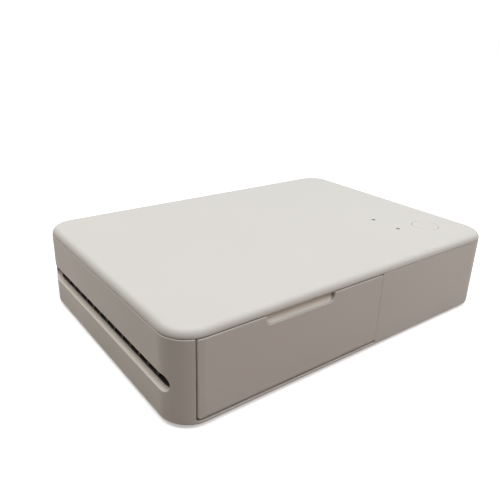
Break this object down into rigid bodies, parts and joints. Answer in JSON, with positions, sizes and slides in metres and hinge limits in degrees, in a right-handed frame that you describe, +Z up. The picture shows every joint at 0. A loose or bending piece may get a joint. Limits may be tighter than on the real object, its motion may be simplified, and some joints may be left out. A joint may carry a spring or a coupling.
{
  "type": "photo printer",
  "caption": "Compact desktop photo printer with a paper slot in the front edge, a hinged top cover and a side door for the ink cassette.",
  "frame": {"origin": "centre of the footprint, at the height of the table under the rubber feet", "axes": "+Z up, -Y is the face with the paper slot, +X is the side with the ink cassette door, +Y is the hinged rear edge of the top cover"},
  "size_m": [0.102, 0.144, 0.0317],
  "materials": {
    "shell_plastic": "fine matte texture",
    "base_plastic": "fine matte texture",
    "bay_plastic": "fine matte texture",
    "guide_plastic": "matte",
    "inner_plastic": "matte",
    "foot_rubber": "matte",
    "roller_rubber": "ground",
    "screw_steel": "zinc plated",
    "shaft_steel": "ground",
    "magnet_metal": "nickel plated",
    "chassis_steel": "galvanised sheet",
    "light_guide": "smoked, clear",
    "board_green": "solder mask",
    "board_parts": "moulded",
    "gear_plastic": "moulded acetal",
    "brass": "cut",
    "motor_metal": "plated",
    "cassette_plastic": "fine matte texture",
    "ink_film": "thin film",
    "heat_sink_aluminium": "extruded",
    "head_ceramic": "glazed ceramic",
    "photo_paper": "coated paper",
    "battery_wrap": "shrink wrap"
  },
  "bodies": {
    "root": {"body_shell": "shell_plastic", "base_plate": "base_plastic", "rubber_feet": "foot_rubber", "base_screws": "screw_steel", "keeper_plates": "shaft_steel", "bay_frame": "bay_plastic", "chassis_left_plate": "chassis_steel", "chassis_right_plate": "chassis_steel", "inner_screws": "screw_steel", "chassis_bridge": "chassis_steel", "gear_studs": "shaft_steel", "roller_bushes": "gear_plastic", "feed_motor": "motor_metal", "ribbon_motor": "motor_metal", "motor_bracket": "chassis_steel", "cassette_frame": "cassette_plastic", "ink_film": "ink_film", "head_shaft": "shaft_steel", "lift_spring": "shaft_steel", "paper_tray": "inner_plastic", "exit_guide_lower": "guide_plastic", "exit_guide_upper": "guide_plastic", "middle_guide": "inner_plastic", "infeed_guide": "inner_plastic", "main_board": "board_green", "usb_socket": "motor_metal", "battery_pack": "battery_wrap"},
    "cover": {"top_cover": "shell_plastic", "hinge_pins": "shaft_steel", "latch_magnets": "magnet_metal", "light_pipes": "light_guide", "button_board": "board_green", "button_board_parts": "board_parts", "button_board_screws": "screw_steel"},
    "button": {"power_button": "shell_plastic"},
    "door": {"cassette_door": "shell_plastic"},
    "head": {"head_arm": "chassis_steel", "heat_sink": "heat_sink_aluminium", "print_head": "head_ceramic"},
    "feed": {"feed_roller": "roller_rubber", "feed_shaft": "shaft_steel", "feed_gear": "gear_plastic"},
    "feed_drive": {"feed_pinion": "brass"},
    "pinch": {"pinch_roller": "shaft_steel"},
    "platen": {"platen_roller": "roller_rubber", "platen_shaft": "shaft_steel"},
    "takeup": {"takeup_spool": "cassette_plastic", "takeup_film": "ink_film", "takeup_gear": "gear_plastic"},
    "supply": {"supply_spool": "cassette_plastic", "supply_film": "ink_film"},
    "idler": {"takeup_idler": "gear_plastic"},
    "ribbon_drive": {"ribbon_pinion": "brass"},
    "idler_a": {"pickup_idler_a": "gear_plastic"},
    "idler_b": {"pickup_idler_b": "gear_plastic"},
    "pickup": {"pickup_shaft": "shaft_steel", "pickup_tyres": "roller_rubber", "pickup_gear": "gear_plastic"},
    "lift": {"paper_lift_plate": "inner_plastic", "paper_stack": "photo_paper"}
  },
  "joints": [
    {"name": "cover_hinge", "type": "hinge", "parent": "root", "child": "cover", "pos_m": [0, 0.0694, 0.0291], "axis": [-1, 0, 0], "range_deg": [0, 75]},
    {"name": "power_button_press", "type": "slide", "parent": "cover", "child": "button", "axis": [0, 0, -1], "range_m": [0, 0.0005], "stiffness_N_per_m": 400, "springref_m": -0.0005},
    {"name": "door_hinge", "type": "hinge", "parent": "root", "child": "door", "pos_m": [0.0492, -0.02857, 0.0043], "axis": [0, 1, 0], "range_deg": [0, 90]},
    {"name": "head_lift", "type": "hinge", "parent": "root", "child": "head", "pos_m": [0, -0.001, 0.0262], "axis": [-1, 0, 0], "range_deg": [0, 4]},
    {"name": "feed_roller_spin", "type": "hinge", "parent": "root", "child": "feed", "pos_m": [0, -0.058, 0.0089], "axis": [1, 0, 0], "continuous": true},
    {"name": "feed_pinion_spin", "type": "hinge", "parent": "root", "child": "feed_drive", "pos_m": [0, -0.049, 0.0089], "axis": [1, 0, 0], "continuous": true},
    {"name": "pinch_roller_spin", "type": "hinge", "parent": "root", "child": "pinch", "pos_m": [0, -0.058, 0.0155], "axis": [1, 0, 0], "continuous": true},
    {"name": "platen_spin", "type": "hinge", "parent": "root", "child": "platen", "pos_m": [0, -0.029, 0.0085], "axis": [1, 0, 0], "continuous": true},
    {"name": "takeup_spin", "type": "hinge", "parent": "root", "child": "takeup", "pos_m": [0, -0.047, 0.0189], "axis": [1, 0, 0], "continuous": true},
    {"name": "supply_spin", "type": "hinge", "parent": "root", "child": "supply", "pos_m": [0, -0.011, 0.0189], "axis": [1, 0, 0], "continuous": true},
    {"name": "takeup_idler_spin", "type": "hinge", "parent": "root", "child": "idler", "pos_m": [0, -0.0375, 0.0189], "axis": [1, 0, 0], "continuous": true},
    {"name": "ribbon_pinion_spin", "type": "hinge", "parent": "root", "child": "ribbon_drive", "pos_m": [0, -0.0295, 0.0189], "axis": [1, 0, 0], "continuous": true},
    {"name": "pickup_idler_a_spin", "type": "hinge", "parent": "root", "child": "idler_a", "pos_m": [0, -0.02055, 0.01799], "axis": [1, 0, 0], "continuous": true},
    {"name": "pickup_idler_b_spin", "type": "hinge", "parent": "root", "child": "idler_b", "pos_m": [0, -0.00847, 0.01476], "axis": [1, 0, 0], "continuous": true},
    {"name": "pickup_spin", "type": "hinge", "parent": "root", "child": "pickup", "pos_m": [0, 0.003, 0.0156], "axis": [1, 0, 0], "continuous": true},
    {"name": "paper_lift", "type": "hinge", "parent": "root", "child": "lift", "pos_m": [0, 0.0665, 0.0087], "axis": [1, 0, 0], "range_deg": [0, 1.5], "stiffness_Nm_per_rad": 0.2, "springref_deg": -8.59, "deforming": ["lift_spring"]}
  ],
  "couplings": [
    {"joint": "feed_pinion_spin", "follows": "feed_roller_spin", "ratio": -2},
    {"joint": "pinch_roller_spin", "follows": "feed_roller_spin", "ratio": -1.6667},
    {"joint": "platen_spin", "follows": "feed_roller_spin", "ratio": 1},
    {"joint": "takeup_idler_spin", "follows": "takeup_spin", "ratio": -0.9},
    {"joint": "ribbon_pinion_spin", "follows": "takeup_spin", "ratio": 1.5},
    {"joint": "pickup_idler_a_spin", "follows": "takeup_spin", "ratio": -0.75},
    {"joint": "pickup_idler_b_spin", "follows": "takeup_spin", "ratio": 0.69231},
    {"joint": "pickup_spin", "follows": "takeup_spin", "ratio": -0.9},
    {"joint": "supply_spin", "follows": "takeup_spin", "ratio": 0.74419}
  ]
}
